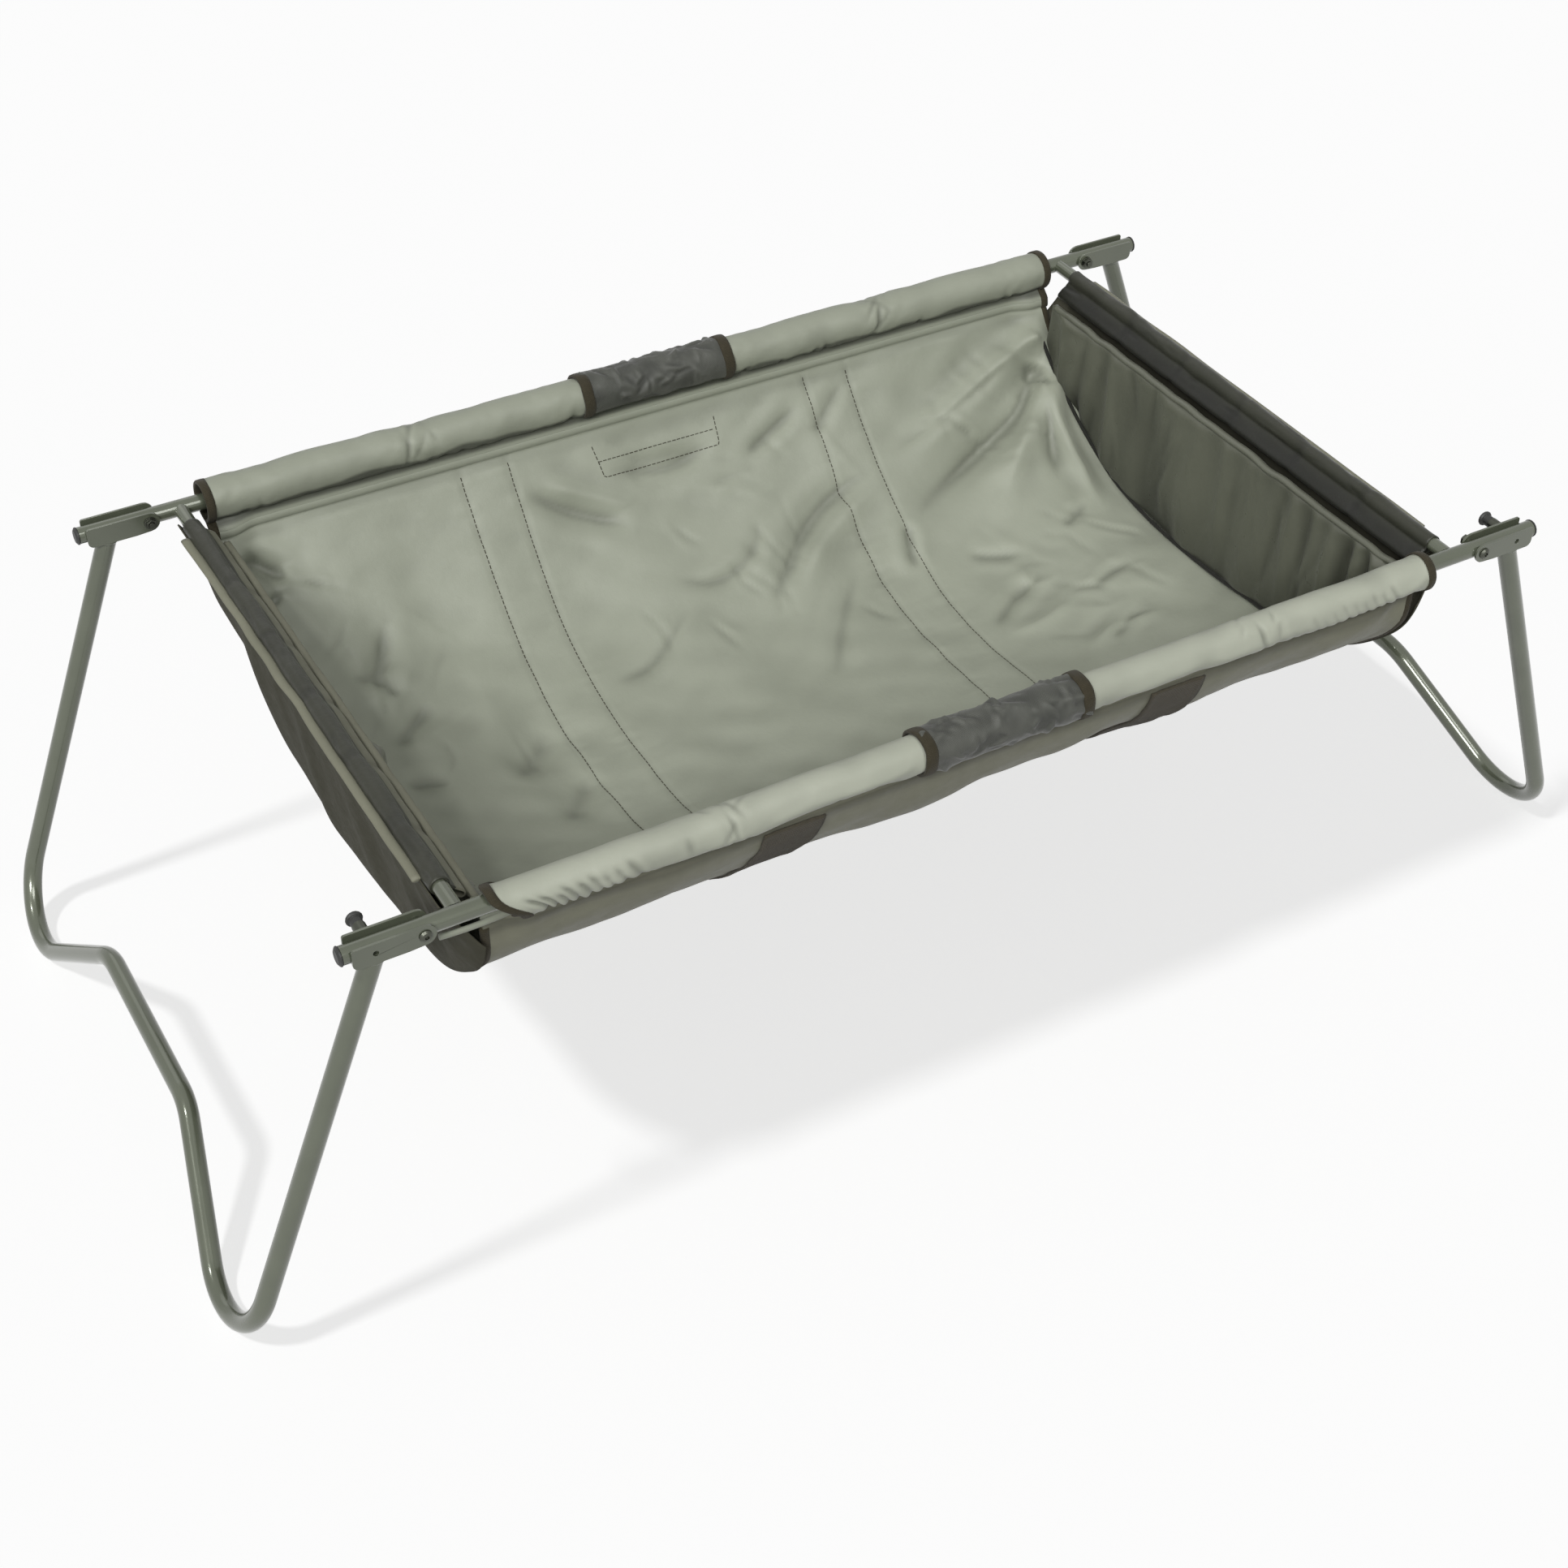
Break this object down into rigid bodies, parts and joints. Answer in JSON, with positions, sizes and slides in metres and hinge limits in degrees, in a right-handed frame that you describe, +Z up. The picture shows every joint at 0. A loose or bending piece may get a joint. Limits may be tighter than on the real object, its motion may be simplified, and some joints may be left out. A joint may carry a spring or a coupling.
{
  "type": "folding fish cradle",
  "caption": "Low folding tube frame with a hung fabric trough, padded ends, rail sleeves and splayed legs that lock open, used to hold a landed fish.",
  "frame": {"origin": "on the floor under the middle of the cradle", "axes": "+X along the rails, to the right in the picture; +Y to the rear rail; +Z up"},
  "size_m": [1.2846, 0.6008, 0.3815],
  "materials": {
    "painted_tube": "satin green-grey paint",
    "dark_steel": "dark zinc",
    "spring_steel": "bright",
    "black_nylon": "moulded",
    "sage_fabric": "coated weave, slight sheen",
    "olive_fabric": "coated weave, slight sheen",
    "foam": "closed-cell foam",
    "webbing": "woven",
    "wrap": "coarse weave"
  },
  "bodies": {
    "frame": {"front_rail": "painted_tube", "rear_rail": "painted_tube", "left_crossbar": "painted_tube", "right_crossbar": "painted_tube", "front_left_end_plug": "black_nylon", "front_right_end_plug": "black_nylon", "rear_left_end_plug": "black_nylon", "rear_right_end_plug": "black_nylon", "front_left_pivot_bush": "dark_steel", "front_right_pivot_bush": "dark_steel", "rear_left_pivot_bush": "dark_steel", "rear_right_pivot_bush": "dark_steel", "front_rail_foam": "foam", "rear_rail_foam": "foam", "front_sleeve": "sage_fabric", "rear_sleeve": "sage_fabric", "left_bar_cover": "olive_fabric", "right_bar_cover": "olive_fabric", "mat": "sage_fabric", "left_end_panel": "olive_fabric", "right_end_panel": "olive_fabric", "left_strap": "webbing", "right_strap": "webbing", "front_grip": "wrap", "rear_grip": "wrap"},
    "left_leg": {"left_leg_tube": "painted_tube", "front_left_leg_channel": "painted_tube", "rear_left_leg_channel": "painted_tube", "front_left_pivot_bolt": "dark_steel", "rear_left_pivot_bolt": "dark_steel", "front_left_pivot_nut": "dark_steel", "rear_left_pivot_nut": "dark_steel", "left_lock_barrel": "dark_steel", "left_lock_spring": "spring_steel"},
    "right_leg": {"right_leg_tube": "painted_tube", "front_right_leg_channel": "painted_tube", "rear_right_leg_channel": "painted_tube", "front_right_pivot_bolt": "dark_steel", "rear_right_pivot_bolt": "dark_steel", "front_right_pivot_nut": "dark_steel", "rear_right_pivot_nut": "dark_steel", "right_lock_barrel": "dark_steel", "right_lock_spring": "spring_steel"},
    "left_lock": {"left_lock_pin": "dark_steel", "left_lock_knob": "black_nylon"},
    "right_lock": {"right_lock_pin": "dark_steel", "right_lock_knob": "black_nylon"}
  },
  "joints": [
    {"name": "left_leg_fold", "type": "hinge", "parent": "frame", "child": "left_leg", "pos_m": [-0.467, 0, 0.362], "axis": [0, -1, 0], "range_deg": [0, 106], "deforming": ["mat", "left_end_panel", "right_end_panel", "left_strap", "right_strap"]},
    {"name": "right_leg_fold", "type": "hinge", "parent": "frame", "child": "right_leg", "pos_m": [0.467, 0, 0.362], "axis": [0, 1, 0], "range_deg": [0, 106]},
    {"name": "left_lock_pull", "type": "slide", "parent": "left_leg", "child": "left_lock", "axis": [0, 1, 0], "range_m": [0, 0.004], "stiffness_N_per_m": 800, "springref_m": -0.004, "deforming": ["left_lock_spring"]},
    {"name": "right_lock_pull", "type": "slide", "parent": "right_leg", "child": "right_lock", "axis": [0, 1, 0], "range_m": [0, 0.004], "stiffness_N_per_m": 800, "springref_m": -0.004, "deforming": ["right_lock_spring"]}
  ],
  "couplings": [
    {"joint": "right_leg_fold", "follows": "left_leg_fold", "ratio": 1}
  ]
}
